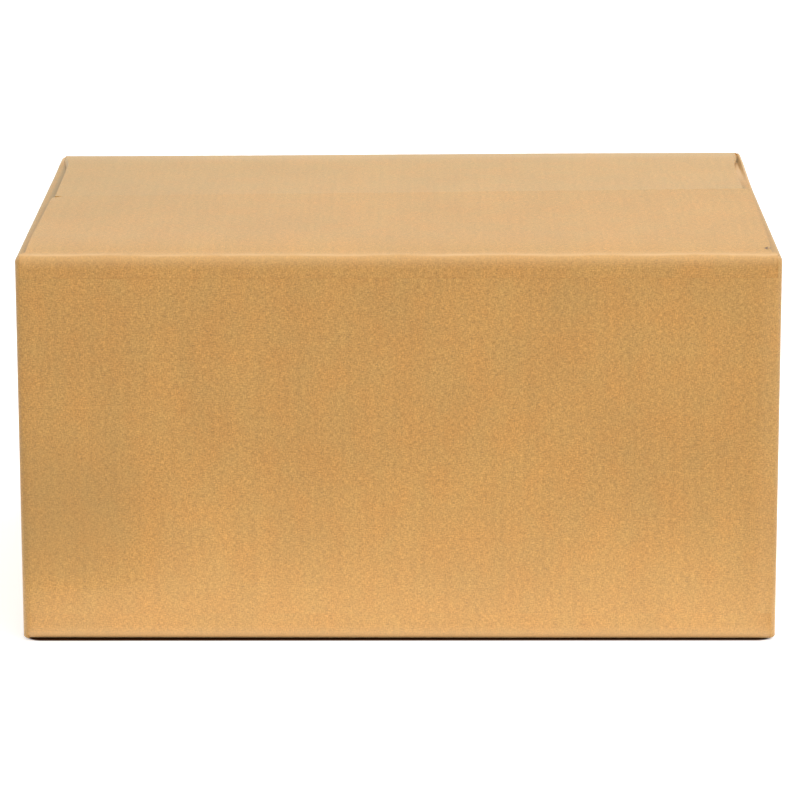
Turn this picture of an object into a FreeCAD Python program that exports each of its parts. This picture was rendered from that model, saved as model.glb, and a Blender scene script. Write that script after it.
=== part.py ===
import FreeCAD, Part
import os
import Sketcher

# Closed slotted carton of single-wall corrugated board, standing on its base.
# The base centre is the origin, +X runs along the width and the front faces -Y.

doc = FreeCAD.newDocument("closed_carton")
sizes = doc.addObject("Spreadsheet::Sheet", "Sizes")

# Driving dimensions in millimetres, angles in degrees
driving = [
    ("inner_length", 304.8),
    ("inner_width", 228.6),
    ("inner_height", 152.4),
    ("board", 3.0),
    ("crushed_board", 1.2),
    ("corner_radius", 3.8),
    ("fold_radius", 3.8),
    ("fold_stub", 0.4),
    ("rim_radius", 2.0),
    ("inside_radius", 0.8),
    ("lay_gap", 0.2),
    ("seam_gap", 1.0),
    ("outer_flap_inset", 2.3),
    ("outer_flap_tip_inset", 4.0),
    ("inner_flap_inset", 4.7),
    ("slot_play", 0.3),
    ("rise_angle", 10.0),
    ("lift_left", 1.0),
    ("lift_right", 3.6),
    ("tip_radius", 2.0),
    ("post_drop", 0.6),
    ("post_round", 0.8),
    ("base_lift", 1.1),
    ("base_settle_run", 15.0),
    ("tab_width", 32.0),
    ("tab_end_drop", 6.0),
    ("tab_end_taper", 7.0),
    ("raw_edge_setback", 1.5),
]
for row, (alias, size) in enumerate(driving, start=1):
    sizes.set(f"A{row}", alias)
    sizes.set(f"B{row}", str(size))
    sizes.setAlias(f"B{row}", alias)
doc.recompute()


def cell(alias):
    return f"Sizes.{alias}"


def number(expression):
    return float(sizes.evalExpression(expression))


# Faces and levels that several pieces share
BOARD = cell("board")
SIDE_X = f"({cell('inner_length')} / 2 + {BOARD})"
FRONT_Y = f"({cell('inner_width')} / 2 + {BOARD})"
RIM_TOP = f"(3 * {BOARD} + {cell('inner_height')})"
FLAP_UNDERSIDE = f"({RIM_TOP} + {cell('lay_gap')})"
RISE = f"tan({cell('rise_angle')})"
FOLD_LINE = (
    f"({FLAP_UNDERSIDE} + {cell('crushed_board')} - {cell('inner_flap_inset')} * {RISE})"
)
FOLD_START = f"({FOLD_LINE} - {cell('fold_radius')} * tan(45 - {cell('rise_angle')} / 2))"
HINGE_HEIGHT = f"({FOLD_START} - {cell('fold_stub')})"
FULL_BOARD_RUN = f"({cell('inner_flap_inset')} + ({BOARD} - {cell('crushed_board')}) / {RISE})"
FLAP_REACH = f"({FRONT_Y} - {cell('seam_gap')} / 2)"
OUTER_FLAP_HALF = f"({SIDE_X} - {cell('outer_flap_inset')})"
INNER_FLAP_HALF = f"({FRONT_Y} - {cell('inner_flap_inset')})"
WALL_FOOT = f"({cell('base_lift')} + {cell('fold_radius')})"
POST_TOP = f"({RIM_TOP} - {cell('post_drop')})"
POST_FOOT = f"({cell('base_lift')} + {cell('post_drop')})"


def plane(body, role):
    return next(part for part in body.Origin.OriginFeatures if part.Role == role)


def new_body(label):
    body = doc.addObject("PartDesign::Body", label)
    body.Label = label
    body.Placement = FreeCAD.Placement()
    return body


def new_sketch(body, name, role, height="0"):
    sketch = body.newObject("Sketcher::SketchObject", name)
    sketch.AttachmentSupport = (plane(body, role), "")
    sketch.MapMode = "FlatFace"
    offset = FreeCAD.Vector(0, 0, number(height))
    sketch.AttachmentOffset = FreeCAD.Placement(offset, FreeCAD.Rotation())
    sketch.setExpression("AttachmentOffset.Base.z", height)
    return sketch


def pin(sketch, kind, edge, expression):
    """Hold a corner at a distance from the sketch origin along one axis."""
    distance = number(expression)
    if abs(distance) < 1e-7:
        axis = -2 if kind == "DistanceX" else -1
        sketch.addConstraint(Sketcher.Constraint("PointOnObject", edge, 1, axis))
        return
    index = sketch.addConstraint(Sketcher.Constraint(kind, -1, 1, edge, 1, distance))
    sketch.setExpression(f"Constraints[{index}]", expression)


def add_outline(sketch, corners):
    """Closed outline through corners (across, up, rounding radius or None)."""
    first = sketch.GeometryCount
    count = len(corners)
    points = [FreeCAD.Vector(number(across), number(up), 0) for across, up, _ in corners]
    for index in range(count):
        line = Part.LineSegment(points[index], points[(index + 1) % count])
        sketch.addGeometry(line, False)
    for index in range(count):
        following = first + (index + 1) % count
        sketch.addConstraint(Sketcher.Constraint("Coincident", first + index, 2, following, 1))
        pin(sketch, "DistanceX", first + index, corners[index][0])
        pin(sketch, "DistanceY", first + index, corners[index][1])
    for index, (_, _, rounding) in enumerate(corners):
        if rounding is None:
            continue
        arc = sketch.GeometryCount
        sketch.fillet(first + (index - 1) % count, 2, number(rounding), True, True)
        radius = Sketcher.Constraint("Radius", arc, number(rounding))
        constraint = sketch.addConstraint(radius)
        sketch.setExpression(f"Constraints[{constraint}]", rounding)


def rectangle(left, right, low, high):
    return [(left, low, None), (right, low, None), (right, high, None), (left, high, None)]


def pad_between(body, name, sketch, length, both_ways=False):
    pad = body.newObject("PartDesign::Pad", name)
    pad.Profile = sketch
    pad.Midplane = both_ways
    pad.setExpression("Length", length)
    doc.recompute()
    return pad


def cut_away(body, name, sketch, length, along_normal):
    """Pocket that has to remove material, or the script stops."""
    before = body.Shape.Volume
    pocket = body.newObject("PartDesign::Pocket", name)
    pocket.Profile = sketch
    pocket.Reversed = along_normal
    pocket.setExpression("Length", length)
    doc.recompute()
    if body.Shape.Volume >= before:
        raise RuntimeError(f"{name} removes nothing")
    return pocket


def round_edges(body, name, edges, radius):
    if not edges:
        raise RuntimeError(f"{name} finds no edges")
    rounded = body.Tip
    fillet = body.newObject("PartDesign::Fillet", name)
    fillet.Base = (rounded, edges)
    fillet.setExpression("Radius", radius)
    doc.recompute()


def mirrored(corners, side):
    """The same outline on the other side of the vertical axis when side is -1."""
    if side == 1:
        return corners
    return [(f"-({across})", up, rounding) for across, up, rounding in corners]


def wall_ring(body):
    """Four walls folded at the vertical creases, with the overlapped raw edge at one corner."""
    sketch = new_sketch(body, "wall_plan", "XY_Plane", POST_FOOT)
    corner = cell("corner_radius")
    tab_face = f"({FRONT_Y} - {BOARD})"
    raw_edge = f"({SIDE_X} - {cell('raw_edge_setback')})"
    outer = [
        (f"-{SIDE_X}", f"-{FRONT_Y}", corner),
        (SIDE_X, f"-{FRONT_Y}", corner),
        (SIDE_X, tab_face, cell("inside_radius")),
        (raw_edge, tab_face, None),
        (raw_edge, FRONT_Y, None),
        (f"-{SIDE_X}", FRONT_Y, corner),
    ]
    add_outline(sketch, outer)
    inside = rectangle(
        f"-({SIDE_X} - {BOARD})",
        f"({SIDE_X} - {BOARD})",
        f"-({FRONT_Y} - {BOARD})",
        f"({FRONT_Y} - {BOARD})",
    )
    rounded = [(across, up, cell("inside_radius")) for across, up, _ in inside]
    add_outline(sketch, rounded)
    pad_between(body, "walls", sketch, f"{POST_TOP} - {POST_FOOT}")


def open_wall_ends(body):
    """Wall ends between the corner posts, where the flaps fold over."""
    wide = f"({OUTER_FLAP_HALF} + {cell('slot_play')})"
    deep = INNER_FLAP_HALF
    past_x = f"({SIDE_X} + {BOARD})"
    past_y = f"({FRONT_Y} + {BOARD})"
    wall_x = f"({SIDE_X} - {BOARD})"
    wall_y = f"({FRONT_Y} - {BOARD})"
    rim_start = f"({RIM_TOP} - {cell('rim_radius')})"
    rim_foot = f"({BOARD} + {cell('rim_radius')})"
    cuts = [
        ("front_back_heads", HINGE_HEIGHT, True, "long"),
        ("side_heads", rim_start, True, "short"),
        ("front_back_feet", WALL_FOOT, False, "long"),
        ("side_feet", rim_foot, False, "short"),
    ]
    for name, level, upward, which in cuts:
        sketch = new_sketch(body, f"{name}_plan", "XY_Plane", level)
        for side in (-1, 1):
            if which == "long":
                near, far = (wall_y, past_y) if side == 1 else (f"-{past_y}", f"-{wall_y}")
                add_outline(sketch, rectangle(f"-{wide}", wide, near, far))
            else:
                near, far = (wall_x, past_x) if side == 1 else (f"-{past_x}", f"-{wall_x}")
                add_outline(sketch, rectangle(near, far, f"-{deep}", deep))
        cut_away(body, name, sketch, f"3 * {BOARD}", upward)


def side_panels(body):
    """Side walls running into the inner flaps, which fold in first at the top and the base."""
    reach = f"({SIDE_X} - {FRONT_Y})"
    wall_x = f"({SIDE_X} - {BOARD})"
    soft = cell("inside_radius")
    rim = cell("rim_radius")
    right_side = [
        (SIDE_X, BOARD, rim),
        (SIDE_X, RIM_TOP, rim),
        (reach, RIM_TOP, None),
        (reach, f"({RIM_TOP} - {BOARD})", None),
        (wall_x, f"({RIM_TOP} - {BOARD})", soft),
        (wall_x, f"(2 * {BOARD})", soft),
        (reach, f"(2 * {BOARD})", None),
        (reach, BOARD, None),
    ]
    for side, label in ((-1, "left"), (1, "right")):
        sketch = new_sketch(body, f"{label}_side_profile", "XZ_Plane")
        add_outline(sketch, mirrored(right_side, side))
        pad_between(body, f"{label}_side_panel", sketch, f"2 * {INNER_FLAP_HALF}", True)


def base_flaps(body):
    """Outer base flaps: each leaves its fold a little high and settles onto the floor."""
    settle = f"({FRONT_Y} - {cell('base_settle_run')})"
    meet = f"({cell('seam_gap')} / 2)"
    wall_y = f"({FRONT_Y} - {BOARD})"
    head = f"({WALL_FOOT} + {BOARD})"
    back_side = [
        (FRONT_Y, head, None),
        (FRONT_Y, cell("base_lift"), cell("fold_radius")),
        (settle, "0", None),
        (meet, "0", None),
        (meet, BOARD, None),
        (wall_y, BOARD, None),
        (wall_y, head, None),
    ]
    for side, label in ((-1, "front"), (1, "back")):
        sketch = new_sketch(body, f"{label}_base_profile", "YZ_Plane")
        add_outline(sketch, mirrored(back_side, side))
        pad_between(body, f"{label}_base_flap", sketch, f"2 * {OUTER_FLAP_HALF}", True)


def glue_tab(body):
    """Tab of the joint, glued inside the back wall, with slanted ends."""
    sketch = new_sketch(body, "tab_profile", "XZ_Plane", f"-({FRONT_Y} - {BOARD})")
    wall_x = f"({SIDE_X} - {BOARD})"
    free_x = f"({wall_x} - {cell('tab_width')})"
    low = f"(2 * {BOARD} + {cell('tab_end_drop')})"
    high = f"({RIM_TOP} - {BOARD} - {cell('tab_end_drop')})"
    outline = [
        (wall_x, low, None),
        (wall_x, high, None),
        (free_x, f"({high} - {cell('tab_end_taper')})", None),
        (free_x, f"({low} + {cell('tab_end_taper')})", None),
    ]
    add_outline(sketch, outline)
    pad_between(body, "joint_tab", sketch, BOARD)


def level_edges(shape, height, test):
    """Names of the edges that lie level at a height and pass a test on their middle."""
    names = []
    for index, edge in enumerate(shape.Edges, start=1):
        box = edge.BoundBox
        level = abs(box.ZMin - height) < 1e-4 and abs(box.ZMax - height) < 1e-4
        if level and test(edge.valueAt((edge.FirstParameter + edge.LastParameter) / 2)):
            names.append(f"Edge{index}")
    return names


def round_posts(body):
    """Soft outer rim on top of the four corner posts between the slots."""
    half_x = number(SIDE_X)
    half_y = number(FRONT_Y)
    corner = number(cell("corner_radius"))

    def on_outer_arc(point):
        across = abs(point.x) - (half_x - corner)
        along = abs(point.y) - (half_y - corner)
        if across < 0 or along < 0:
            return False
        return abs((across**2 + along**2) ** 0.5 - corner) < 1e-3

    edges = level_edges(body.Shape, number(POST_TOP), on_outer_arc)
    round_edges(body, "post_rims", edges, cell("post_round"))


def case_body():
    body = new_body("case_body")
    wall_ring(body)
    open_wall_ends(body)
    round_posts(body)
    side_panels(body)
    base_flaps(body)
    glue_tab(body)
    return body


def flap_section(side, lift):
    """Section of an outer top flap: rolled fold, crushed crease, then a board lying raised."""
    flap_tip = f"({FRONT_Y} - {FLAP_REACH})"
    full_y = f"({FRONT_Y} - {FULL_BOARD_RUN})"
    wall_y = f"({FRONT_Y} - {BOARD})"
    rise_top = f"({FOLD_LINE} + {FULL_BOARD_RUN} * {RISE})"
    back_side = [
        (FRONT_Y, HINGE_HEIGHT, None),
        (FRONT_Y, FOLD_LINE, cell("fold_radius")),
        (full_y, rise_top, None),
        (flap_tip, f"({RIM_TOP} + {lift} + {BOARD})", None),
        (flap_tip, f"({RIM_TOP} + {lift})", None),
        (full_y, FLAP_UNDERSIDE, None),
        (wall_y, FLAP_UNDERSIDE, cell("inside_radius")),
        (wall_y, HINGE_HEIGHT, None),
    ]
    return mirrored(back_side, side)


def taper_flap(body, side):
    """Sides of the flap drawn in a little towards its free edge."""
    level = f"({RIM_TOP} + {cell('lift_right')} + 2 * {BOARD})"
    sketch = new_sketch(body, "taper_plan", "XY_Plane", level)
    tip_half = f"({SIDE_X} - {cell('outer_flap_tip_inset')})"
    fold_y = f"({side} * {FRONT_Y})"
    past_x = f"({SIDE_X} + {BOARD})"
    for hand in (-1, 1):
        wedge = [
            (f"({hand} * {OUTER_FLAP_HALF})", fold_y, None),
            (f"({hand} * {tip_half})", "0", None),
            (f"({hand} * {past_x})", "0", None),
            (f"({hand} * {past_x})", fold_y, None),
        ]
        add_outline(sketch, wedge)
    cut_away(body, "side_taper", sketch, f"({level} - {HINGE_HEIGHT} + {BOARD})", False)


def soften_tip_corners(body):
    """Rounded free corners of the flap."""
    tip = number(f"({cell('seam_gap')} / 2)")
    names = []
    for index, edge in enumerate(body.Shape.Edges, start=1):
        box = edge.BoundBox
        upright = box.ZLength > 0.9 * number(BOARD)
        if upright and abs(abs(box.Center.y) - tip) < 1e-3:
            names.append(f"Edge{index}")
    round_edges(body, "tip_corners", names, cell("tip_radius"))


def outer_flap(label, side):
    """Outer top flap, raised more at its right end than at its left one."""
    body = new_body(label)
    stations = [
        ("left", f"-{OUTER_FLAP_HALF}", cell("lift_left")),
        ("right", OUTER_FLAP_HALF, cell("lift_right")),
    ]
    sections = []
    for name, station, lift in stations:
        sketch = new_sketch(body, f"{name}_section", "YZ_Plane", station)
        add_outline(sketch, flap_section(side, lift))
        sections.append(sketch)
    doc.recompute()
    loft = body.newObject("PartDesign::AdditiveLoft", "flap_board")
    loft.Profile = sections[0]
    loft.Sections = [sections[1]]
    loft.Ruled = True
    doc.recompute()
    taper_flap(body, side)
    soften_tip_corners(body)
    return body


pieces = [
    case_body(),
    outer_flap("front_top_flap", -1),
    outer_flap("back_top_flap", 1),
]
doc.recompute()

for item in doc.Objects:
    if "Invalid" in item.State or "Error" in item.State:
        raise RuntimeError(f"{item.Name} failed: {item.State}")

os.makedirs("parts", exist_ok=True)
for piece in pieces:
    shape = piece.Shape
    if shape.isNull() or not shape.isValid() or len(shape.Solids) != 1:
        raise RuntimeError(f"{piece.Label} is not one valid solid")
    shape.exportStep(f"parts/{piece.Label}.step")
    box = shape.BoundBox
    print(piece.Label, round(shape.Volume), "mm3", [round(v, 2) for v in (
        box.XMin, box.YMin, box.ZMin, box.XMax, box.YMax, box.ZMax)])
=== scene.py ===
"""Looks of the closed cardboard box: corrugated boards, kraft paper, light and camera."""
import math
import random

import bpy
from mathutils import Matrix, Vector


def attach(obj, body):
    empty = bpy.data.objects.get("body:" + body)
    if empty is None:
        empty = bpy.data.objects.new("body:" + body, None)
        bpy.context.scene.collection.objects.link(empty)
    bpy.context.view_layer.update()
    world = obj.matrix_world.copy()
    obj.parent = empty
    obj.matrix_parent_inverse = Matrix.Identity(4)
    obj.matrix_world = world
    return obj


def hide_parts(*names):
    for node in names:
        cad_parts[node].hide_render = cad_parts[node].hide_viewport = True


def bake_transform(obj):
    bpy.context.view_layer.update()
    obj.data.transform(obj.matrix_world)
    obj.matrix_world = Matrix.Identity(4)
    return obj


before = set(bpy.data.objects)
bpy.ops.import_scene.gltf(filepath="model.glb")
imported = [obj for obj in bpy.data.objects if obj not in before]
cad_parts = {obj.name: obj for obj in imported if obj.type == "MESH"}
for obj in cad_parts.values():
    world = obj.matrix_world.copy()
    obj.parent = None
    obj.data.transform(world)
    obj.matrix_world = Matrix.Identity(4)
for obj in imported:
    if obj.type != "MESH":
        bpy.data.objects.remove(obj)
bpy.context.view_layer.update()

MM = 0.001

# Sizes of the box, in millimetres
SIDE_X = 155.4
FRONT_Y = 117.3
BOARD = 3.0
LINER = 0.32
RIM_TOP = 161.4
CORNER_R = 3.8
FOLD_R = 3.8
RIM_R = 2.0
SOFT_R = 0.8
LIFT_LEFT = 0.6
LIFT_RIGHT = 3.6
RISE = math.radians(8.0)
FOLD_LINE = 161.971
FULL_BOARD_RUN = 36.0
FULL_BOARD_TOP = 164.6
FLAP_UNDERSIDE = RIM_TOP + 0.2
HINGE_HEIGHT = 158.383
SEAM_HALF = 0.12
FLAP_HALF = 151.4
SLOT_SIDE_X = 153.35
BITE_DEPTH = 10.4
SLOT_FLOOR = 6.0
PINCH_WIDTH = 1.2
FLAP_TIP_R = 2.0
INNER_HALF = 112.6
POST_TOP = 161.2
POST_FOOT = 1.2
RIM_RISE_LEFT = 0.5
RIM_RISE_RIGHT = 2.5
PANEL_TOP = 153.0
PANEL_FOOT = 12.0
BASE_LIFT_LEFT = 1.1
BASE_LIFT_RIGHT = 0.5
BASE_SETTLE = 15.0
RAW_EDGE_X = SIDE_X - 1.5
TAB_INNER_X = SIDE_X - BOARD - 32.0
TAB_DROP = 12.0
TAB_TAPER = 7.0
TAB_TOP = 152.4

# Corrugation
FLUTE = 6.54
WASHBOARD = 0.035
SKIN = 0.02
OUTER_STEPS = 6
WAVE_STEPS = 8
PLAIN_STEPS = 3
FOLD_ROW = 5
ARC_ROWS = 9

# The fluted medium, as shares of the board's thickness
MEDIUM_SHARE = 0.08
MEDIUM_GAP = 0.02

# Unevenness: depths in millimetres, and shifts that pick another stretch of a random field
WALL_SAG_DEPTH = 0.25
FLAP_SAG_DEPTH = 0.15
CREASE_DEPTH = 0.12
FOLD_LEAN = 0.05
SIDE_WALL_SHIFT = 400.0
FLAP_SHIFT = 300.0
CREASE_SHIFT = 500.0

# Rubbed paper at the folds together with a painted highlight on them, and painted light elsewhere,
# where the paper is paler: shares of the pale tone
RIM_RUB_AND_HIGHLIGHT = 0.35
FOLD_RUB_AND_HIGHLIGHT = 0.42
FOLD_PAINTED_LIGHT_SPREAD = 0.10
FOLD_LINE_RUB_AND_HIGHLIGHT = 0.55
BASE_FOLD_HIGHLIGHT = 0.45
CORNER_PAINTED_LIGHT = 0.08
GROOVE_PAINTED_LIGHT = 0.70

# Painted shade where the paper is darker: shares of the shade tone, the tear's hole's share for each
# millimetre of the tear
PATCH_PAINTED_SHADE = 0.36
LEFT_PAINTED_SHADE = 0.16
RIM_PAINTED_SHADE = 0.25
SLOT_SHADE = 0.75
TEAR_HOLE_SHADE = 3.0

# Painted light from the bright ground, low on the walls: its height on the paper in metres, and its
# share at the foot
GROUND_BOUNCE_HEIGHT = 0.085
GROUND_BOUNCE_SHARE = 0.13

# Ground and light
HALF_X = SIDE_X * MM
HALF_Y = FRONT_Y * MM
GROUND_REACH = 6.0
GROUND_GLOW = 0.6
# Painted shadow on the ground under the box, in metres: how far in its rounded corners lie, and the
# width over which it fades inside the box's edge
PAINTED_SHADOW_CORNER = 0.008
PAINTED_SHADOW_EDGE = 0.0018
ROOM_LIGHT = 0.50
OVERHEAD_POWER = 43.0
FRONT_POWER = 17.0
STRIP = 0.06
STRIP_GAP = 0.003
STRIP_HEIGHT = 0.0006
STRIP_POWER = 0.80

# Fitted view: camera place in metres, angles, and focal length in pixels of the picture
CAMERA_PLACE = (0.008, -1.763, 0.4945)
YAW = math.radians(-0.26)
PITCH = math.radians(13.40)
ROLL = math.radians(-0.11)
FOCAL_PIXELS = 4155.0
PICTURE_PIXELS = 800.0
SENSOR_WIDTH = 36.0


def mix(a, b, t):
    return a + (b - a) * t


def ramp(x, low, high):
    """Smooth step from 0 at low to 1 at high."""
    t = min(1.0, max(0.0, (x - low) / (high - low)))
    return t * t * (3.0 - 2.0 * t)


def seeded_waves(seed, count, longest, shortest):
    """A smooth random field of two coordinates, within about -1 to 1."""
    rng = random.Random(seed)
    terms = []
    for _ in range(count):
        length = mix(shortest, longest, rng.random())
        angle = rng.uniform(0.0, math.pi)
        phase = rng.uniform(0.0, 2.0 * math.pi)
        turn = 2.0 * math.pi / length
        terms.append((turn * math.cos(angle), turn * math.sin(angle), phase))

    def field(a, b):
        total = sum(math.sin(p * a + q * b + r) for p, q, r in terms)
        return total / math.sqrt(count) / 1.6

    return field


def washboard(u):
    """Depth that the outer liner sinks between two flute tips."""
    return WASHBOARD * 0.5 * (1.0 - math.cos(2.0 * math.pi * u / FLUTE))


class Shell:
    """Vertices, faces, paper coordinates and marks of one mesh, in millimetres; the marks are rubbed
    paper together with painted highlights, painted light and painted shade.
    """

    def __init__(self):
        self.points = []
        self.faces = []
        self.paper = []
        self.wear_and_painted_light = []

    def add_point(self, point, paper, wear_and_painted_light=0.0):
        self.points.append(point)
        self.paper.append(paper)
        self.wear_and_painted_light.append(wear_and_painted_light)
        return len(self.points) - 1

    def build(self, name, material, sharp_degrees=38.0):
        mesh = bpy.data.meshes.new(name)
        coords = [[c * MM for c in p] for p in self.points]
        mesh.from_pydata(coords, [], self.faces)
        layer = mesh.uv_layers.new(name="paper")
        flat = []
        for loop in mesh.loops:
            u, v = self.paper[loop.vertex_index]
            flat.extend((u * MM, v * MM))
        layer.data.foreach_set("uv", flat)
        worn_and_lit = mesh.attributes.new(name="wear_and_painted_light", type="FLOAT", domain="POINT")
        worn_and_lit.data.foreach_set("value", self.wear_and_painted_light)
        mesh.materials.append(material)
        mesh.polygons.foreach_set("use_smooth", [True] * len(mesh.polygons))
        mesh.set_sharp_from_angle(angle=math.radians(sharp_degrees))
        mesh.update()
        obj = bpy.data.objects.new(name, mesh)
        bpy.context.scene.collection.objects.link(obj)
        return obj


def unmarked(i, j, layer):
    return 0.0


def add_slab(shell, columns, rows, present, place, paper, wear_and_painted_light=unmarked):
    """A closed sheet on a grid: place(i, j, layer) gives points, layer 0 outside, 1 inside."""
    index = {}

    def corner(i, j, layer):
        key = (i, j, layer)
        if key not in index:
            index[key] = shell.add_point(
                place(i, j, layer), paper(i, j, layer), wear_and_painted_light(i, j, layer))
        return index[key]

    def cell(i, j):
        return 0 <= i < columns and 0 <= j < rows and present(i, j)

    for i in range(columns):
        for j in range(rows):
            if not cell(i, j):
                continue
            ring = [(i, j), (i + 1, j), (i + 1, j + 1), (i, j + 1)]
            shell.faces.append([corner(a, b, 0) for a, b in ring])
            shell.faces.append([corner(a, b, 1) for a, b in reversed(ring)])
            sides = [
                (cell(i, j - 1), ring[0], ring[1]),
                (cell(i + 1, j), ring[1], ring[2]),
                (cell(i, j + 1), ring[2], ring[3]),
                (cell(i - 1, j), ring[3], ring[0]),
            ]
            for closed, a, b in sides:
                if not closed:
                    shell.faces.append([
                        corner(*b, 0), corner(*a, 0), corner(*a, 1), corner(*b, 1)])


def stations(low, high, step):
    """Even stations from low to high, about a step apart."""
    count = max(1, round((high - low) / step))
    return [mix(low, high, k / count) for k in range(count + 1)]


def arc(centre, radius, start, end, count):
    """Points on an arc in the plane of a section, angles in degrees."""
    out = []
    for k in range(count + 1):
        angle = math.radians(mix(start, end, k / count))
        out.append((centre[0] + radius * math.cos(angle), centre[1] + radius * math.sin(angle)))
    return out


def line(a, b, count):
    """Points from a, not included, to b."""
    return [(mix(a[0], b[0], k / count), mix(a[1], b[1], k / count)) for k in range(1, count + 1)]


def resample(points, fractions):
    """Points on a broken line at given fractions of its length."""
    lengths = [0.0]
    for a, b in zip(points, points[1:]):
        lengths.append(lengths[-1] + math.dist(a, b))
    total = lengths[-1]
    out = []
    k = 0
    for fraction in fractions:
        target = fraction * total
        while k < len(points) - 2 and lengths[k + 1] < target:
            k += 1
        span = lengths[k + 1] - lengths[k]
        t = 0.0 if span == 0.0 else (target - lengths[k]) / span
        out.append((mix(points[k][0], points[k + 1][0], t), mix(points[k][1], points[k + 1][1], t)))
    return out


def path_lengths(points):
    out = [0.0]
    for a, b in zip(points, points[1:]):
        out.append(out[-1] + math.dist(a, b))
    return out


def add_board(shell, section, us, across, paper_v, wave_from=-math.inf, wear_and_painted_light=None):
    """A corrugated board: two liners and the fluted medium between them.

    section(t) gives the outer and inner points at station us[i] = t, as equally long lists of
    (depth, height); across(t, k, depth, height) turns them into points in space. The medium starts
    at wave_from along the paper.
    """
    profiles = [section(t) for t in us]
    rows = len(profiles[0][0]) - 1
    columns = len(us) - 1

    def between(i, k, share):
        outer, inner = profiles[i]
        return (mix(outer[k][0], inner[k][0], share), mix(outer[k][1], inner[k][1], share))

    def thickness(i, k):
        outer, inner = profiles[i]
        return max(0.2, math.dist(outer[k], inner[k]))

    def liner(side):
        def place(i, k, layer):
            thick = thickness(i, k)
            skin = min(LINER, 0.3 * thick) / thick
            sink = (washboard(us[i]) + SKIN) / thick
            share = sink + layer * skin if side == 0 else 1.0 - sink - (1 - layer) * skin
            depth, height = between(i, k, share)
            return across(us[i], k, depth, height)
        return place

    def paper(i, k, layer):
        return (us[i], paper_v[k])

    def outer_wear_and_painted_light(i, k, layer):
        return wear_and_painted_light(us[i], paper_v[k]) if wear_and_painted_light and layer == 0 else 0.0

    for side in (0, 1):
        rubbed_and_painted = outer_wear_and_painted_light if side == 0 else unmarked
        add_slab(shell, columns, rows, lambda i, k: True, liner(side), paper, rubbed_and_painted)

    # The fluted medium
    low = us[0] + 0.3
    high = us[-1] - 0.3
    wave_us = stations(low, high, FLUTE / WAVE_STEPS)
    span = us[-1] - us[0]

    def wave_between(t, k, share):
        at = (t - us[0]) / span * columns
        i = min(columns - 1, int(at))
        a = between(i, k, share)
        b = between(i + 1, k, share)
        return (mix(a[0], b[0], at - i), mix(a[1], b[1], at - i))

    first_row = 0
    while first_row < rows - 1 and paper_v[first_row] < wave_from:
        first_row += 1
    wave_rows = list(range(first_row, rows + 1))

    def wave_place(i, j, layer):
        t = wave_us[i]
        k = wave_rows[j]
        at = min(columns - 1, int((t - us[0]) / span * columns))
        thick = thickness(at, k)
        skin = min(LINER, 0.3 * thick) / thick
        clear = 1.0 - 2.0 * skin - (MEDIUM_SHARE + 2.0 * MEDIUM_GAP)
        swing = 0.5 + 0.5 * math.cos(2.0 * math.pi * t / FLUTE)
        share = skin + MEDIUM_GAP + swing * clear * (1.0 - MEDIUM_SHARE) + layer * MEDIUM_SHARE
        depth, height = wave_between(t, k, share)
        return across(t, k, depth, height)

    def wave_paper(i, j, layer):
        return (wave_us[i], paper_v[wave_rows[j]])

    add_slab(
        shell, len(wave_us) - 1, len(wave_rows) - 1, lambda i, j: True, wave_place, wave_paper)


panel_sag = seeded_waves(11, 6, 260.0, 90.0)
flap_sag = seeded_waves(17, 6, 220.0, 70.0)
crease_stray = seeded_waves(23, 8, 60.0, 9.0)


def panel_depth(u, v, half):
    """How far a wall lies inside its flat face.

    It sags in the middle and not at the folds. half says where the sag fades out beside: at both
    ends for a wall on the middle of the field, and at the far end only for one that is shifted.
    """
    beside = ramp(half - abs(u), 2.0, 50.0)
    along = ramp(v, PANEL_FOOT, PANEL_FOOT + 40.0) * ramp(PANEL_TOP - v, 0.0, 40.0)
    return beside * along * WALL_SAG_DEPTH * (1.0 + panel_sag(u, v))


def corner_sag(u):
    """How far the rounded vertical corner lies inside the flat face beside it."""
    past = min(CORNER_R, max(0.0, abs(u) - (SIDE_X - CORNER_R)))
    return CORNER_R - math.sqrt(CORNER_R**2 - past**2)


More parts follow.
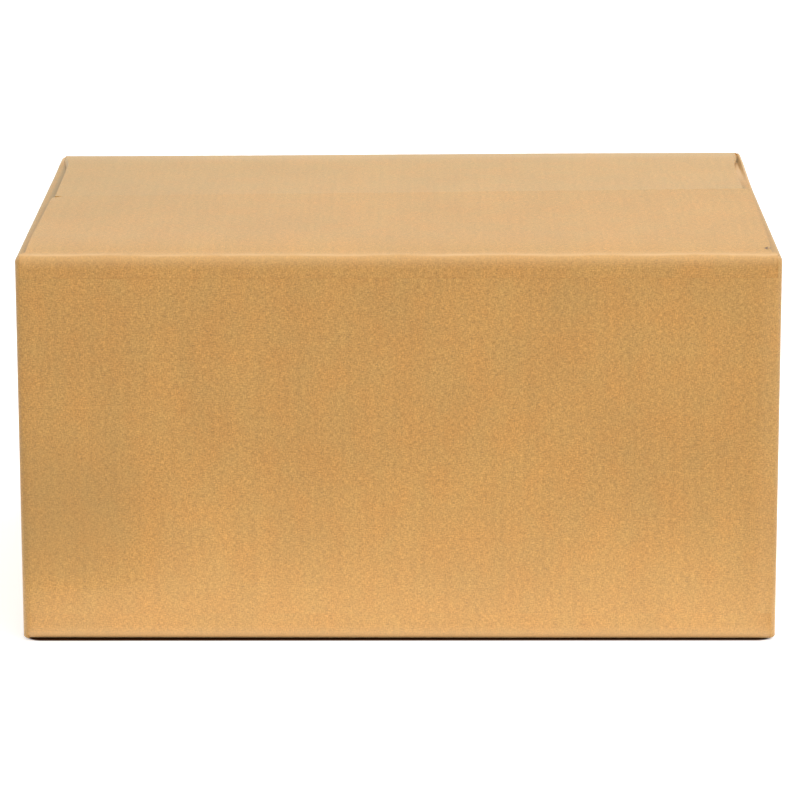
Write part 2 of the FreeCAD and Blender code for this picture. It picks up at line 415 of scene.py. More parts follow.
# Walls, the joint's tab and the corner posts: one sheet bent round the corners
def wall_columns():
    """Outer and inner plan points, and a length along the paper, for each column."""
    columns = []

    def add(outer, inner):
        if columns and math.dist(columns[-1][0], outer) < 1e-6:
            return
        length = columns[-1][2] + math.dist(columns[-1][0], outer) if columns else 0.0
        columns.append((outer, inner, length))

    def run(start, end, normal, step):
        count = max(1, round(math.dist(start, end) / step))
        for k in range(count + 1):
            outer = (mix(start[0], end[0], k / count), mix(start[1], end[1], k / count))
            add(outer, (outer[0] - normal[0] * BOARD, outer[1] - normal[1] * BOARD))

    slot_angle = math.degrees(math.asin((SLOT_SIDE_X - SIDE_X + CORNER_R) / CORNER_R))
    turns = stations(0.0, slot_angle, 9.0)[1:] + stations(slot_angle, 90.0, 10.0)[1:-1]

    def bend(centre, start, sign):
        """Round a corner from a wall's face at an angle; sign is 1 from a front or back wall."""
        for turn in (turns if sign > 0 else [90.0 - t for t in reversed(turns)]):
            angle = math.radians(start + turn)
            way = (math.cos(angle), math.sin(angle))
            add((centre[0] + CORNER_R * way[0], centre[1] + CORNER_R * way[1]),
                (centre[0] + SOFT_R * way[0], centre[1] + SOFT_R * way[1]))

    step = FLUTE / OUTER_STEPS
    in_x = SIDE_X - CORNER_R
    in_y = FRONT_Y - CORNER_R
    tab_y = FRONT_Y - BOARD
    run((RAW_EDGE_X, FRONT_Y), (in_x, FRONT_Y), (0, 1), 0.6)
    run((in_x, FRONT_Y), (-in_x, FRONT_Y), (0, 1), step)
    bend((-in_x, in_y), 90.0, 1)
    run((-SIDE_X, in_y), (-SIDE_X, INNER_HALF), (-1, 0), 0.6)
    run((-SIDE_X, INNER_HALF), (-SIDE_X, -INNER_HALF), (-1, 0), step)
    run((-SIDE_X, -INNER_HALF), (-SIDE_X, -in_y), (-1, 0), 0.6)
    bend((-in_x, -in_y), 180.0, -1)
    run((-in_x, -FRONT_Y), (in_x, -FRONT_Y), (0, -1), step)
    bend((in_x, -in_y), 270.0, 1)
    run((SIDE_X, -in_y), (SIDE_X, -INNER_HALF), (1, 0), 0.6)
    run((SIDE_X, -INNER_HALF), (SIDE_X, tab_y - CORNER_R), (1, 0), step)
    bend((in_x, tab_y - CORNER_R), 0.0, -1)
    run((in_x, tab_y), (TAB_INNER_X, tab_y), (0, 1), 2.0)
    return columns


def walls(material):
    shell = Shell()
    columns = wall_columns()
    heights = [POST_FOOT, POST_FOOT + 0.5, PANEL_FOOT]
    heights += stations(PANEL_FOOT, PANEL_TOP, 9.0)[1:]
    heights += [POST_TOP - 5.0, POST_TOP - 3.0, POST_TOP - 1.6, POST_TOP - 0.6, POST_TOP]
    last = len(heights) - 1
    tab_y = FRONT_Y - BOARD

    def in_tab(i):
        outer = columns[i][0]
        return abs(outer[1] - tab_y) < 1e-6 and outer[0] < SIDE_X - CORNER_R + 1e-6

    def is_post(i):
        if in_tab(i):
            return False
        outer = columns[i][0]
        return abs(outer[0]) > SLOT_SIDE_X - 1e-3 and abs(outer[1]) > INNER_HALF - 1e-6

    def present(i, j):
        if PANEL_FOOT - 1e-6 <= heights[j] and heights[j + 1] <= PANEL_TOP + 1e-6:
            return True
        return is_post(i) and is_post(i + 1)

    def place(i, j, layer):
        outer, inner, _ = columns[i]
        height = heights[j]
        if in_tab(i):
            share = (height - PANEL_FOOT) / (PANEL_TOP - PANEL_FOOT)
            slant = TAB_TAPER * (SIDE_X - CORNER_R - outer[0]) / (SIDE_X - CORNER_R - TAB_INNER_X)
            low = TAB_DROP + slant
            height = mix(low, TAB_TOP - slant, share)
        along_x = abs(abs(outer[1]) - FRONT_Y) < 1e-6
        along_y = abs(abs(outer[0]) - SIDE_X) < 1e-6
        sink = SKIN
        if along_x and abs(outer[0]) <= SIDE_X - CORNER_R:
            dent = panel_depth(outer[0], height, SIDE_X)
            sink += washboard(outer[0] + SIDE_X)
        elif along_y:
            dent = panel_depth(outer[1] + SIDE_WALL_SHIFT, height, FRONT_Y + SIDE_WALL_SHIFT)
            sink += washboard(outer[1] + FRONT_Y)
        else:
            dent = 0.0
        rim = {0: 0.45, last - 1: 0.35, last: 1.3}.get(j, 0.0) if layer == 0 else 0.0
        thick = math.dist(outer, inner)
        way = ((inner[0] - outer[0]) / thick, (inner[1] - outer[1]) / thick)
        base = outer if layer == 0 else inner
        move = dent + rim + (sink if layer == 0 else -SKIN)
        height += rim_rise(math.copysign(1.0, outer[0]), outer[1], height, 0.0)
        return (base[0] + way[0] * move, base[1] + way[1] * move, height)

    def paper(i, j, layer):
        return (columns[i][2], heights[j])

    # Rubbed paper with a painted highlight at the top of the corner posts, painted light on a strip
    # at the right end of the front, and painted shade on a patch low at the left of the front
    def wear_and_painted_light(i, j, layer):
        x, y = columns[i][0]
        z = heights[j]
        rubbed_and_painted = RIM_RUB_AND_HIGHLIGHT * ramp(z, HINGE_HEIGHT, HINGE_HEIGHT + 2.5)
        if y > -FRONT_Y + 1.0 or layer == 1:
            return rubbed_and_painted
        rubbed_and_painted += CORNER_PAINTED_LIGHT * ramp(x, 145.0, 150.0)
        return rubbed_and_painted - PATCH_PAINTED_SHADE * (1.0 - ramp(x, -134.0, -90.0)) * ramp(z, 18.0, 34.0) * (
            1.0 - ramp(z, 50.0, 105.0))

    add_slab(shell, len(columns) - 1, last, present, place, paper, wear_and_painted_light)
    return shell.build("walls", material)


def rim_rise(side, along, height, depth):
    """How much the folded rim of a side wall stands up towards the back corner."""
    most = RIM_RISE_RIGHT if side > 0 else RIM_RISE_LEFT
    near = ramp(along, 30.0 if side > 0 else 70.0, INNER_HALF)
    return most * near * ramp(height, PANEL_TOP, RIM_TOP - 2.0) * (1.0 - ramp(depth, 1.2, 2.4))


# Sections of the flaps: outer and inner points as (depth inside the wall's face, height)
def outer_top_section(lift):
    """Fold, then a board that gains its full thickness over the first stretch and rises on."""
    fold_tangent = FOLD_R * math.tan((math.pi / 2 - RISE) / 2)
    fold_z = FOLD_LINE - fold_tangent
    tip = FRONT_Y - SEAM_HALF
    slope = (RIM_TOP + lift + BOARD - FULL_BOARD_TOP) / (tip - FULL_BOARD_RUN)
    outer = [(0.0, PANEL_TOP)] + line((0.0, PANEL_TOP), (0.0, fold_z), FOLD_ROW)
    outer += arc((FOLD_R, fold_z), FOLD_R, 180.0, 90.0 + math.degrees(RISE), ARC_ROWS)[1:]
    start_depth, start_z = outer[-1]
    drop = FULL_BOARD_TOP - start_z
    run = FULL_BOARD_RUN - start_depth
    for k in range(1, 15):
        depth = mix(start_depth, FULL_BOARD_RUN, k / 14)
        left = (FULL_BOARD_RUN - depth) / run
        rise = slope * (1.0 - left) ** 2 * run / 2
        outer.append((depth, FULL_BOARD_TOP - drop * left * left + rise))
    for k in range(1, 13):
        depth = mix(FULL_BOARD_RUN, tip, k / 12)
        outer.append((depth, FULL_BOARD_TOP + slope * (run / 2 + depth - FULL_BOARD_RUN)))
    top = outer[-1][1]
    over = top - (RIM_TOP + lift + BOARD)
    outer = [(d, z - over * ramp(d, start_depth, tip)) for d, z in outer]
    inner = [(BOARD, PANEL_TOP)] + line((BOARD, PANEL_TOP), (BOARD, fold_z), FOLD_ROW)
    bend = [(BOARD, fold_z), (BOARD, FLAP_UNDERSIDE - SOFT_R)]
    bend += arc((BOARD + SOFT_R, FLAP_UNDERSIDE - SOFT_R), SOFT_R, 180.0, 90.0, 4)[1:]
    inner += resample(bend, [k / ARC_ROWS for k in range(1, ARC_ROWS + 1)])
    for depth, z in outer[len(inner):]:
        inner.append((max(depth, BOARD + SOFT_R + 0.2), max(FLAP_UNDERSIDE, z - BOARD)))
    return outer, inner


def inner_top_section():
    """Inner top flap, level under the outer ones."""
    low = RIM_TOP - BOARD
    outer = [(0.0, PANEL_TOP)] + line((0.0, PANEL_TOP), (0.0, RIM_TOP - RIM_R), 3)
    outer += arc((RIM_R, RIM_TOP - RIM_R), RIM_R, 180.0, 90.0, 8)[1:]
    outer += line(outer[-1], (SLOT_FLOOR, RIM_TOP), 8)
    outer += line(outer[-1], (FRONT_Y, RIM_TOP), 12)
    inner = [(BOARD, PANEL_TOP)] + line((BOARD, PANEL_TOP), (BOARD, low - SOFT_R), 3)
    inner += arc((BOARD + SOFT_R, low - SOFT_R), SOFT_R, 180.0, 90.0, 8)[1:]
    inner += line(inner[-1], (SLOT_FLOOR, low), 8)
    inner += line(inner[-1], (FRONT_Y, low), 12)
    return outer, inner


def inner_base_section():
    """Inner base flap, on top of the outer ones."""
    outer = [(0.0, PANEL_FOOT)] + line((0.0, PANEL_FOOT), (0.0, BOARD + RIM_R), 3)
    outer += arc((RIM_R, BOARD + RIM_R), RIM_R, 180.0, 270.0, 6)[1:]
    outer += line(outer[-1], (FRONT_Y, BOARD), 10)
    high = 2.0 * BOARD
    inner = [(BOARD, PANEL_FOOT)] + line((BOARD, PANEL_FOOT), (BOARD, high + SOFT_R), 3)
    inner += arc((BOARD + SOFT_R, high + SOFT_R), SOFT_R, 180.0, 270.0, 6)[1:]
    inner += line(inner[-1], (FRONT_Y, high), 10)
    return outer, inner


def outer_base_section(base_lift):
    """Outer base flap: it leaves its fold a little high and settles onto the floor."""
    slope = math.atan2(base_lift, BASE_SETTLE)
    tangent = FOLD_R * math.tan((math.pi / 2 - slope) / 2)
    fold_z = base_lift + tangent
    tip = FRONT_Y - SEAM_HALF
    outer = [(0.0, PANEL_FOOT)] + line((0.0, PANEL_FOOT), (0.0, fold_z), 3)
    outer += arc((FOLD_R, fold_z), FOLD_R, 180.0, 270.0 - math.degrees(slope), 8)[1:]
    outer += line(outer[-1], (BASE_SETTLE, 0.0), 4)
    outer += line(outer[-1], (tip, 0.0), 10)
    inner = [(BOARD, PANEL_FOOT)] + line((BOARD, PANEL_FOOT), (BOARD, fold_z), 3)
    bend = [(BOARD, fold_z), (BOARD, BOARD + 0.4), (BOARD + 0.4, BOARD)]
    inner += resample(bend, [k / 8 for k in range(1, 9)])
    inner += line(inner[-1], (BASE_SETTLE, BOARD), 4)
    inner += line(inner[-1], (tip, BOARD), 10)
    return outer, inner


def board_stations(half, step):
    """Columns across a board, closer together at its two side edges."""
    edge = [0.0, 0.25, 0.6, 1.1, 1.8]
    low = [-half + e for e in edge]
    high = [half - e for e in reversed(edge)]
    return low + stations(low[-1], high[0], step)[1:-1] + high


def outer_top_flap(
        name, side, material, insets, fold_lift, dropped_corner, slot_end, slot_run, bite,
        pinch):
    """Outer top flap with its rolled fold; side is -1 at the front and 1 at the back.

    insets gives how far the left and right edges lie inside FLAP_HALF at the fold and at the
    free edge; fold_lift raises the fold towards the right end; dropped_corner is how far the
    free corner at the left hangs; the slots open from slot_end over slot_run; bite is the depth
    of the tear at the end of the right slot; pinch is the share of the thickness that the board
    loses along its two cut ends.
    """
    shell = Shell()
    half = FLAP_HALF
    us = board_stations(half, FLUTE / OUTER_STEPS)
    paper_v = [PANEL_TOP + length for length in path_lengths(outer_top_section(LIFT_LEFT)[0])]
    fold_v = paper_v[FOLD_ROW]
    tip = FRONT_Y - SEAM_HALF

    def section(u):
        outer, inner = outer_top_section(mix(LIFT_LEFT, LIFT_RIGHT, (u + half) / (2.0 * half)))
        loss = pinch * ramp(abs(u), half - PINCH_WIDTH, half)
        outer = [(a[0], mix(a[1], b[1], loss * ramp(a[0], BOARD, 2.0 * BOARD)))
                 for a, b in zip(outer, inner)]
        return outer, inner

    def across(u, k, depth, height):
        past = max(0.0, abs(u) - (half - FLAP_TIP_R))
        pulled = tip - (FLAP_TIP_R - math.sqrt(FLAP_TIP_R**2 - past**2))
        depth = min(depth, pulled)
        inset = mix(*insets[0 if u < 0 else 1], depth / tip)
        width = mix(SLOT_SIDE_X, half - inset, ramp(depth, slot_end, slot_end + slot_run))
        if u > 0:
            width -= bite * math.exp(-((depth - BITE_DEPTH) / 1.6) ** 2)
        lean = FOLD_LEAN * ramp(height, PANEL_TOP, HINGE_HEIGHT) * (1.0 - ramp(depth, 0.0, 6.0))
        at_x = u * width / half
        round_corner = corner_sag(at_x) * (1.0 - ramp(height, HINGE_HEIGHT, FOLD_LINE))
        stray = CREASE_DEPTH * crease_stray(u + CREASE_SHIFT * side, 0.0)
        stray *= ramp(height, PANEL_TOP, HINGE_HEIGHT) * (1.0 - ramp(depth, 2.0, 14.0))
        inside = lean + round_corner + max(0.0, CREASE_DEPTH + stray)
        sag = FLAP_SAG_DEPTH * (flap_sag(u, depth + FLAP_SHIFT * side) - 1.0)
        sag *= ramp(depth, 10.0, 40.0) * (1.0 - ramp(depth, 60.0, tip))
        sag -= dropped_corner * ramp(-u, 146.0, 151.4) * ramp(depth, 106.0, tip)
        sag += fold_lift * ramp(u, -half, half) * ramp(height, HINGE_HEIGHT, FOLD_LINE) * (
            1.0 - ramp(depth, 20.0, tip))
        return (at_x, side * (FRONT_Y - depth - inside), height + sag)

    # Rubbed paper along the fold with a painted highlight on it that spreads a little onto the flap,
    # painted shade in the tear's hole, and painted shade on the flap's left part
    def wear_and_painted_light(u, v):
        below = ramp(v, fold_v - 2.5, fold_v + 3.0)
        above = 1.0 - ramp(v, fold_v + 5.0, fold_v + 9.0)
        rubbed_and_painted = FOLD_RUB_AND_HIGHLIGHT * below * above
        rubbed_and_painted += FOLD_PAINTED_LIGHT_SPREAD * ramp(v, fold_v + 3.0, fold_v + 8.0) * (
            1.0 - ramp(v, fold_v + 16.0, fold_v + 45.0))
        off = (v - fold_v - 4.6 - 0.4 * crease_stray(u, 90.0)) / 0.55
        line_share = FOLD_LINE_RUB_AND_HIGHLIGHT * math.exp(-off * off) * (1.0 + 0.8 * crease_stray(u, 40.0 * side))
        # Painted shade: the dark inside of the tear's hole
        off = (v - fold_v - 2.0 - BITE_DEPTH) / 1.1
        hole_shade = TEAR_HOLE_SHADE * bite * math.exp(-off * off)
        hole_shade *= ramp(u, 149.5, 150.3) * (1.0 - ramp(u, 150.85, 151.2))
        dim = LEFT_PAINTED_SHADE * (1.0 - ramp(u, -152.0, -40.0))
        dim *= 1.0 if side > 0 else ramp(v, fold_v + 30.0, fold_v + 100.0)
        return min(1.0, rubbed_and_painted + max(0.0, line_share) - hole_shade - dim)

    add_board(shell, section, us, across, paper_v, wave_from=PANEL_TOP + 4.0, wear_and_painted_light=wear_and_painted_light)
    return shell.build(name, material)


def side_flap(name, side, section, material, paper_start, sign, shade=0.0):
    """Flap of a side wall; side is -1 at the left and 1 at the right.

    shade darkens the paper just past the fold, where the outer flaps' edges lie over it.
    """
    shell = Shell()
    profile = section()
    us = board_stations(INNER_HALF, FLUTE / PLAIN_STEPS)
    paper_v = [paper_start + sign * length for length in path_lengths(profile[0])]

    def across(u, k, depth, height):
        return (side * (SIDE_X - depth), u, height + rim_rise(side, u, height, depth))

    # Painted shade on the rim beside and under the outer flaps' edges, turning into painted light in
    # the groove towards the back corners
    def wear_and_painted_light(u, v):
        past = sign * (v - paper_start)
        if shade == 0.0:
            return 0.0
        back = ramp(u, 20.0, 80.0) if side > 0 else ramp(u, 92.0, 108.0)
        dark = max(RIM_PAINTED_SHADE * ramp(past, 5.0, 8.0), shade * ramp(past, 9.9, 11.0))
        return mix(-dark, GROOVE_PAINTED_LIGHT * ramp(past, 6.0, 9.0), back) * (1.0 - ramp(past, 14.0, 20.0))

    add_board(shell, lambda u: profile, us, across, paper_v, wear_and_painted_light=wear_and_painted_light)
    return shell.build(name, material)


def outer_base_flap(name, side, material):
    shell = Shell()
    us = board_stations(SLOT_SIDE_X, FLUTE / PLAIN_STEPS)
    lengths = path_lengths(outer_base_section(BASE_LIFT_LEFT)[0])
    paper_v = [PANEL_FOOT - length for length in lengths]

    def section(u):
        return outer_base_section(
            mix(BASE_LIFT_LEFT, BASE_LIFT_RIGHT, 0.5 + 0.5 * u / SLOT_SIDE_X))

    def across(u, k, depth, height):
        inside = corner_sag(u) * ramp(height, 0.0, FOLD_R)
        return (u, side * (FRONT_Y - depth - inside), height)

    # Painted highlight in a band along the base fold
    def wear_and_painted_light(u, v):
        return BASE_FOLD_HIGHLIGHT * ramp(PANEL_FOOT - v, 6.0, 9.5) * (1.0 - ramp(PANEL_FOOT - v, 13.0, 16.0))

    add_board(shell, section, us, across, paper_v, wear_and_painted_light=wear_and_painted_light)
    return shell.build(name, material)


# Materials
class Nodes:
    """Short ways to add and join shader nodes."""

    def __init__(self, material):
        material.use_nodes = True
        self.tree = material.node_tree
        self.tree.nodes.clear()

    def add(self, kind, **values):
        node = self.tree.nodes.new(kind)
        for key, value in values.items():
            setattr(node, key, value)
        return node

    def join(self, source, target):
        self.tree.links.new(source, target)

    def feed(self, value, socket):
        if isinstance(value, bpy.types.NodeSocket):
            self.join(value, socket)
        else:
            socket.default_value = value

    def math(self, operation, a, b=0.0, clamp=False):
        node = self.add("ShaderNodeMath", operation=operation, use_clamp=clamp)
        self.feed(a, node.inputs[0])
        self.feed(b, node.inputs[1])
        return node.outputs[0]

    def remap(self, value, from_low, from_high, to_low, to_high):
        node = self.add("ShaderNodeMapRange")
        self.feed(value, node.inputs["Value"])
        node.inputs["From Min"].default_value = from_low
        node.inputs["From Max"].default_value = from_high
        node.inputs["To Min"].default_value = to_low
        node.inputs["To Max"].default_value = to_high
        return node.outputs["Result"]

    def noise(self, vector, scale, detail=2.0, rough=0.5):
        """Noise on the paper; scale gives cells per metre along u and v."""
        mapping = self.add("ShaderNodeMapping")
        mapping.inputs["Scale"].default_value = (scale[0], scale[1], 1.0)
        self.join(vector, mapping.inputs["Vector"])
        node = self.add("ShaderNodeTexNoise", noise_dimensions="2D")
        node.inputs["Scale"].default_value = 1.0
        node.inputs["Detail"].default_value = detail
        node.inputs["Roughness"].default_value = rough
        self.join(mapping.outputs["Vector"], node.inputs["Vector"])
        return node.outputs["Fac"]

    def mix_colour(self, share, a, b, blend="MIX"):
        node = self.add("ShaderNodeMix", data_type="RGBA", blend_type=blend)
        self.feed(share, node.inputs["Factor"])
        self.feed(a, node.inputs["A"])
        self.feed(b, node.inputs["B"])
        return node.outputs["Result"]


# The pale tone serves rubbed folds, painted highlights and painted light; the shade tone and the
# tear's tone are painted shade
KRAFT_LOW = (0.420, 0.200, 0.0425)
KRAFT_HIGH = (0.745, 0.406, 0.110)
KRAFT_WORN_AND_LIT = (0.760, 0.480, 0.220)
KRAFT_DARK = (0.300, 0.150, 0.050)
KRAFT_SHADE = (0.330, 0.205, 0.062)
TEAR_HOLE_SHADE_TONE = (0.120, 0.038, 0.010)


def scaled(colour, factors):
    return tuple(c * f for c, f in zip(colour, factors)) + (1.0,)


def kraft(name, factors=(1.0, 1.0, 1.0)):
    """Kraft liner: brown fibres, streaks along the flutes, flecks, worn folds, and painted
    highlights, painted light and painted shade.
    """
    material = bpy.data.materials.new(name)
    n = Nodes(material)
    paper = n.add("ShaderNodeUVMap", uv_map="paper").outputs["UV"]
    lying = n.noise(paper, (620.0, 2400.0), 2.0, 0.55)
    standing = n.noise(paper, (2600.0, 700.0), 2.0, 0.55)
    grain = n.noise(paper, (1500.0, 1500.0), 3.0, 0.65)
    fibres = n.math("ADD", n.math("ADD", lying, standing), grain)
    streaks = n.noise(paper, (420.0, 14.0), 2.0, 0.5)
    cloud = n.noise(paper, (28.0, 20.0), 3.0, 0.55)
    flecks = n.noise(paper, (520.0, 1300.0), 1.0, 0.5)
    coarse = n.noise(paper, (430.0, 330.0), 2.0, 0.6)
    level = n.math("MULTIPLY", n.remap(streaks, 0.25, 0.75, 0.97, 1.03),
                   n.remap(cloud, 0.25, 0.75, 0.955, 1.045))
    level = n.math("MULTIPLY", level, n.remap(coarse, 0.25, 0.75, 0.94, 1.06))
    pulp = n.mix_colour(n.remap(fibres, 1.02, 1.98, 0.0, 1.0),
                        scaled(KRAFT_LOW, factors), scaled(KRAFT_HIGH, factors))
    grey = n.add("ShaderNodeCombineColor")
    for socket in grey.inputs:
        n.join(level, socket)
    hue = n.remap(n.noise(paper, (75.0, 60.0), 2.0, 0.5), 0.3, 0.7, 0.0, 1.0)
    tone = n.mix_colour(hue, (1.02, 0.985, 0.95, 1.0), (0.98, 1.015, 1.05, 1.0))
    colour = n.mix_colour(1.0, pulp, grey.outputs[0], "MULTIPLY")
    colour = n.mix_colour(1.0, colour, tone, "MULTIPLY")
    dark = n.remap(flecks, 0.70, 0.78, 0.0, 0.45)
    colour = n.mix_colour(dark, colour, scaled(KRAFT_DARK, factors))
    # The mesh's marks: rubbed paper, painted highlights and painted light where they are above zero,
    # painted shade where below
    worn_and_lit = n.add("ShaderNodeAttribute", attribute_name="wear_and_painted_light").outputs["Fac"]
    split = n.add("ShaderNodeSeparateXYZ")
    n.join(paper, split.inputs[0])
    # Painted light from the bright ground, low on the walls
    ground_bounce = n.add("ShaderNodeMapRange", interpolation_type="SMOOTHSTEP")
    n.join(split.outputs["Y"], ground_bounce.inputs["Value"])
    limits = {"From Min": 0.0, "From Max": GROUND_BOUNCE_HEIGHT, "To Min": GROUND_BOUNCE_SHARE, "To Max": 0.0}
    for label, value in limits.items():
        ground_bounce.inputs[label].default_value = value
    worn_and_lit = n.math("ADD", worn_and_lit, ground_bounce.outputs["Result"])
    colour = n.mix_colour(n.math("MAXIMUM", worn_and_lit, 0.0), colour, scaled(KRAFT_WORN_AND_LIT, factors))
    shaded = n.math("MAXIMUM", n.math("MULTIPLY", worn_and_lit, -1.0), 0.0)
    colour = n.mix_colour(shaded, colour, scaled(KRAFT_SHADE, factors))
    # Deepest painted shade, inside the tear's hole
    colour = n.mix_colour(n.remap(shaded, 1.0, 2.0, 0.0, 1.0), colour, scaled(TEAR_HOLE_SHADE_TONE, factors))
    shader = n.add("ShaderNodeBsdfPrincipled")
    n.join(colour, shader.inputs["Base Color"])
    shader.inputs["Roughness"].default_value = 0.45
    shader.inputs["Sheen Weight"].default_value = 0.28
    shader.inputs["Sheen Tint"].default_value = (1.0, 0.98, 0.62, 1.0)
    shader.inputs["Sheen Roughness"].default_value = 0.40
    shader.inputs["IOR"].default_value = 1.5
    bump = n.add("ShaderNodeBump")
    bump.inputs["Strength"].default_value = 0.35
    bump.inputs["Distance"].default_value = 0.00005
    n.join(fibres, bump.inputs["Height"])
    n.join(bump.outputs["Normal"], shader.inputs["Normal"])
    output = n.add("ShaderNodeOutputMaterial")
    n.join(shader.outputs["BSDF"], output.inputs["Surface"])
    return material


def floor_material():
    """White ground: pure white where it is lit, keeping some of the box's real shadow, with a painted
    shadow under the box's foot.
    """
    material = bpy.data.materials.new("white_ground")
    n = Nodes(material)
    path = n.add("ShaderNodeLightPath")
    seen = n.math("ADD", path.outputs["Is Camera Ray"], path.outputs["Is Glossy Ray"], True)
    seen = n.math("ADD", seen, path.outputs["Is Transmission Ray"], True)
    glow = n.add("ShaderNodeEmission")
    glow.inputs["Color"].default_value = (1.0, 1.0, 1.0, 1.0)
    place = n.add("ShaderNodeNewGeometry").outputs["Position"]
    apart = n.add("ShaderNodeSeparateXYZ")
    n.join(place, apart.inputs[0])
    # Painted shadow: under the box the ground loses its glow and turns dark brown, fading just inside
    # the box's edge
    past = []
    for axis, half in (("X", HALF_X), ("Y", HALF_Y)):
        from_middle = n.math("ABSOLUTE", apart.outputs[axis])
        over = n.math("MAXIMUM", n.math("SUBTRACT", from_middle, half - PAINTED_SHADOW_CORNER), 0.0)
        past.append(n.math("MULTIPLY", over, over))
    from_core = n.math("SQRT", n.math("ADD", past[0], past[1]))
    outside_painted_shadow = n.remap(from_core, PAINTED_SHADOW_CORNER - PAINTED_SHADOW_EDGE, PAINTED_SHADOW_CORNER, 0.0, 1.0)
    glowing = n.math("MULTIPLY", seen, outside_painted_shadow)
    n.join(n.math("MULTIPLY", glowing, GROUND_GLOW), glow.inputs["Strength"])
    matt = n.add("ShaderNodeBsdfDiffuse")
    n.join(n.mix_colour(outside_painted_shadow, (0.14, 0.06, 0.02, 1.0), (0.80, 0.80, 0.80, 1.0)),
           matt.inputs["Color"])
    both = n.add("ShaderNodeAddShader")
    n.join(glow.outputs[0], both.inputs[0])
    n.join(matt.outputs[0], both.inputs[1])
    output = n.add("ShaderNodeOutputMaterial")
    n.join(both.outputs[0], output.inputs["Surface"])
    return material


def white_world(strength):
    world = bpy.data.worlds.new("white_room")
    bpy.context.scene.world = world
    n = Nodes(world)
    path = n.add("ShaderNodeLightPath")
    seen = n.math("ADD", path.outputs["Is Camera Ray"], path.outputs["Is Glossy Ray"], True)
    seen = n.math("ADD", seen, path.outputs["Is Transmission Ray"], True)
    background = n.add("ShaderNodeBackground")
    background.inputs["Color"].default_value = (1.0, 1.0, 1.0, 1.0)
    n.join(n.remap(seen, 0.0, 1.0, strength, 1.0), background.inputs["Strength"])
    output = n.add("ShaderNodeOutputWorld")
    n.join(background.outputs[0], output.inputs["Surface"])


def area_light(name, place, size, power, aim, mirrored=False):
    """A soft lamp at a place, facing another, both in metres, unseen by the camera."""
    data = bpy.data.lights.new(name, "AREA")
    data.shape = "RECTANGLE"
    data.size, data.size_y = size
    data.energy = power
    lamp = bpy.data.objects.new(name, data)
    bpy.context.scene.collection.objects.link(lamp)
    lamp.location = place
    lamp.rotation_mode = "QUATERNION"
    way = Vector(aim) - Vector(place)
    lamp.rotation_quaternion = way.to_track_quat("-Z", "Y")
    lamp.visible_camera = False
    lamp.visible_glossy = mirrored
    return lamp


# The box
front_kraft = kraft("kraft_walls")
front_flap_kraft = kraft("kraft_front_flap", (1.01, 0.995, 0.99))
back_flap_kraft = kraft("kraft_back_flap", (0.99, 1.0, 1.0))

case_pieces = [walls(front_kraft)]
for side_name, side in (("left", -1), ("right", 1)):
    case_pieces.append(side_flap(
        f"inner_top_flap_{side_name}", side, inner_top_section, front_kraft, PANEL_TOP, 1.0,
        SLOT_SHADE))
    case_pieces.append(side_flap(
        f"inner_base_flap_{side_name}", side, inner_base_section, front_kraft, PANEL_FOOT, -1.0))
for side_name, side in (("front", -1), ("back", 1)):
    case_pieces.append(outer_base_flap(f"outer_base_flap_{side_name}", side, front_kraft))
for piece in case_pieces:
    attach(piece, "case")
    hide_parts("case_body")

outer_flaps = (
    ("front", -1, dict(
        material=front_flap_kraft, insets=((0.0, 1.6), (0.1, 0.4)), fold_lift=0.0,
        dropped_corner=0.45, slot_end=3.2, slot_run=2.5, bite=1.2, pinch=0.0)),
    ("back", 1, dict(
        material=back_flap_kraft, insets=((0.6, 1.7), (0.6, 2.4)), fold_lift=1.2,
        dropped_corner=0.0, slot_end=6.5, slot_run=34.0, bite=0.0, pinch=0.85)),
)
for side_name, side, details in outer_flaps:
    flap = outer_top_flap(f"{side_name}_flap_board", side, **details)
    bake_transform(flap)
    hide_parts(f"{side_name}_top_flap")

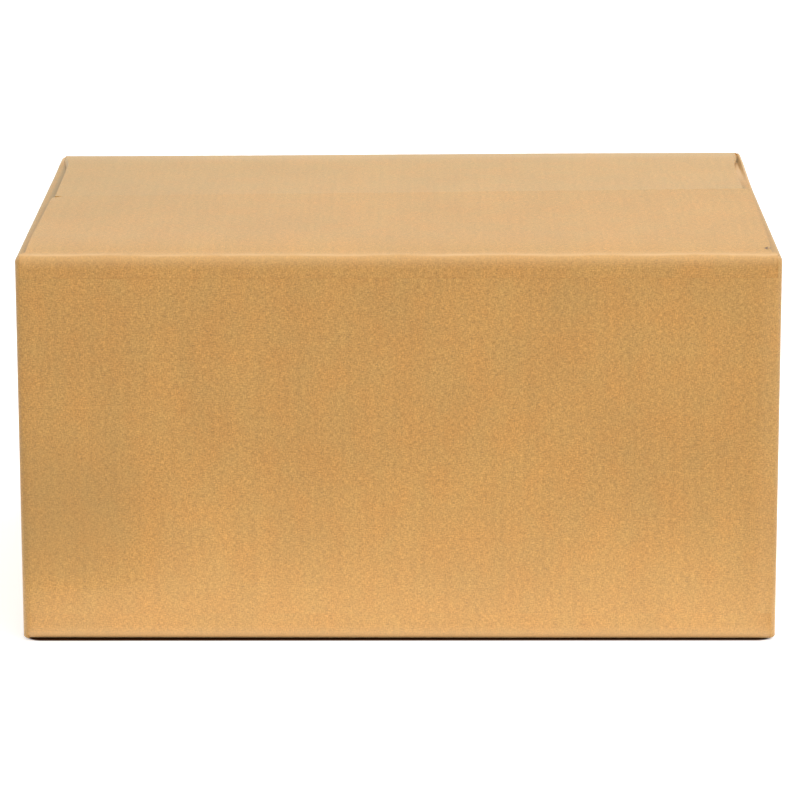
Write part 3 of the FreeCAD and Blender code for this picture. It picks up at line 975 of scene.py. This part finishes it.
# Ground
ground_mesh = bpy.data.meshes.new("ground")
ground_corners = [
    (side_x * GROUND_REACH, side_y * GROUND_REACH, 0.0)
    for side_x, side_y in ((-1, -1), (1, -1), (1, 1), (-1, 1))]
ground_mesh.from_pydata(ground_corners, [], [(0, 1, 2, 3)])
ground_mesh.materials.append(floor_material())
ground = bpy.data.objects.new("ground", ground_mesh)
bpy.context.scene.collection.objects.link(ground)

# Light: a white room, a soft lamp overhead, one in front, and bright ground close to the walls
white_world(ROOM_LIGHT)
area_light("overhead", (0.9, -0.2, 2.2), (2.4, 2.4), OVERHEAD_POWER, (0.0, 0.0, 0.0))
area_light("front_fill", (0.0, -3.2, 1.3), (2.6, 1.6), FRONT_POWER, (0.0, 0.0, 0.08))
for strip_name, x, y, width, depth in (
        ("front", 0.0, -HALF_Y - STRIP_GAP - STRIP / 2, 2 * HALF_X, STRIP),
        ("back", 0.0, HALF_Y + STRIP_GAP + STRIP / 2, 2 * HALF_X, STRIP),
        ("left", -HALF_X - STRIP_GAP - STRIP / 2, 0.0, STRIP, 2 * HALF_Y),
        ("right", HALF_X + STRIP_GAP + STRIP / 2, 0.0, STRIP, 2 * HALF_Y)):
    power = STRIP_POWER * math.pi * width * depth
    area_light(
        f"ground_glow_{strip_name}", (x, y, STRIP_HEIGHT), (width, depth), power, (x, y, 1.0), True)

# Camera
scene = bpy.context.scene
scene.view_settings.view_transform = "Standard"
forward = Vector((
    math.sin(YAW) * math.cos(PITCH), math.cos(YAW) * math.cos(PITCH), -math.sin(PITCH)))
right = Vector((math.cos(YAW), -math.sin(YAW), 0.0))
up = right.cross(forward)
rolled_right = math.cos(ROLL) * right + math.sin(ROLL) * up
rolled_up = -math.sin(ROLL) * right + math.cos(ROLL) * up
camera_data = bpy.data.cameras.new("camera")
camera_data.sensor_width = SENSOR_WIDTH
camera_data.lens = SENSOR_WIDTH * FOCAL_PIXELS / PICTURE_PIXELS
camera = bpy.data.objects.new("camera", camera_data)
scene.collection.objects.link(camera)
turn = Matrix((rolled_right, rolled_up, -forward)).transposed().to_4x4()
camera.matrix_world = Matrix.Translation(CAMERA_PLACE) @ turn
scene.camera = camera
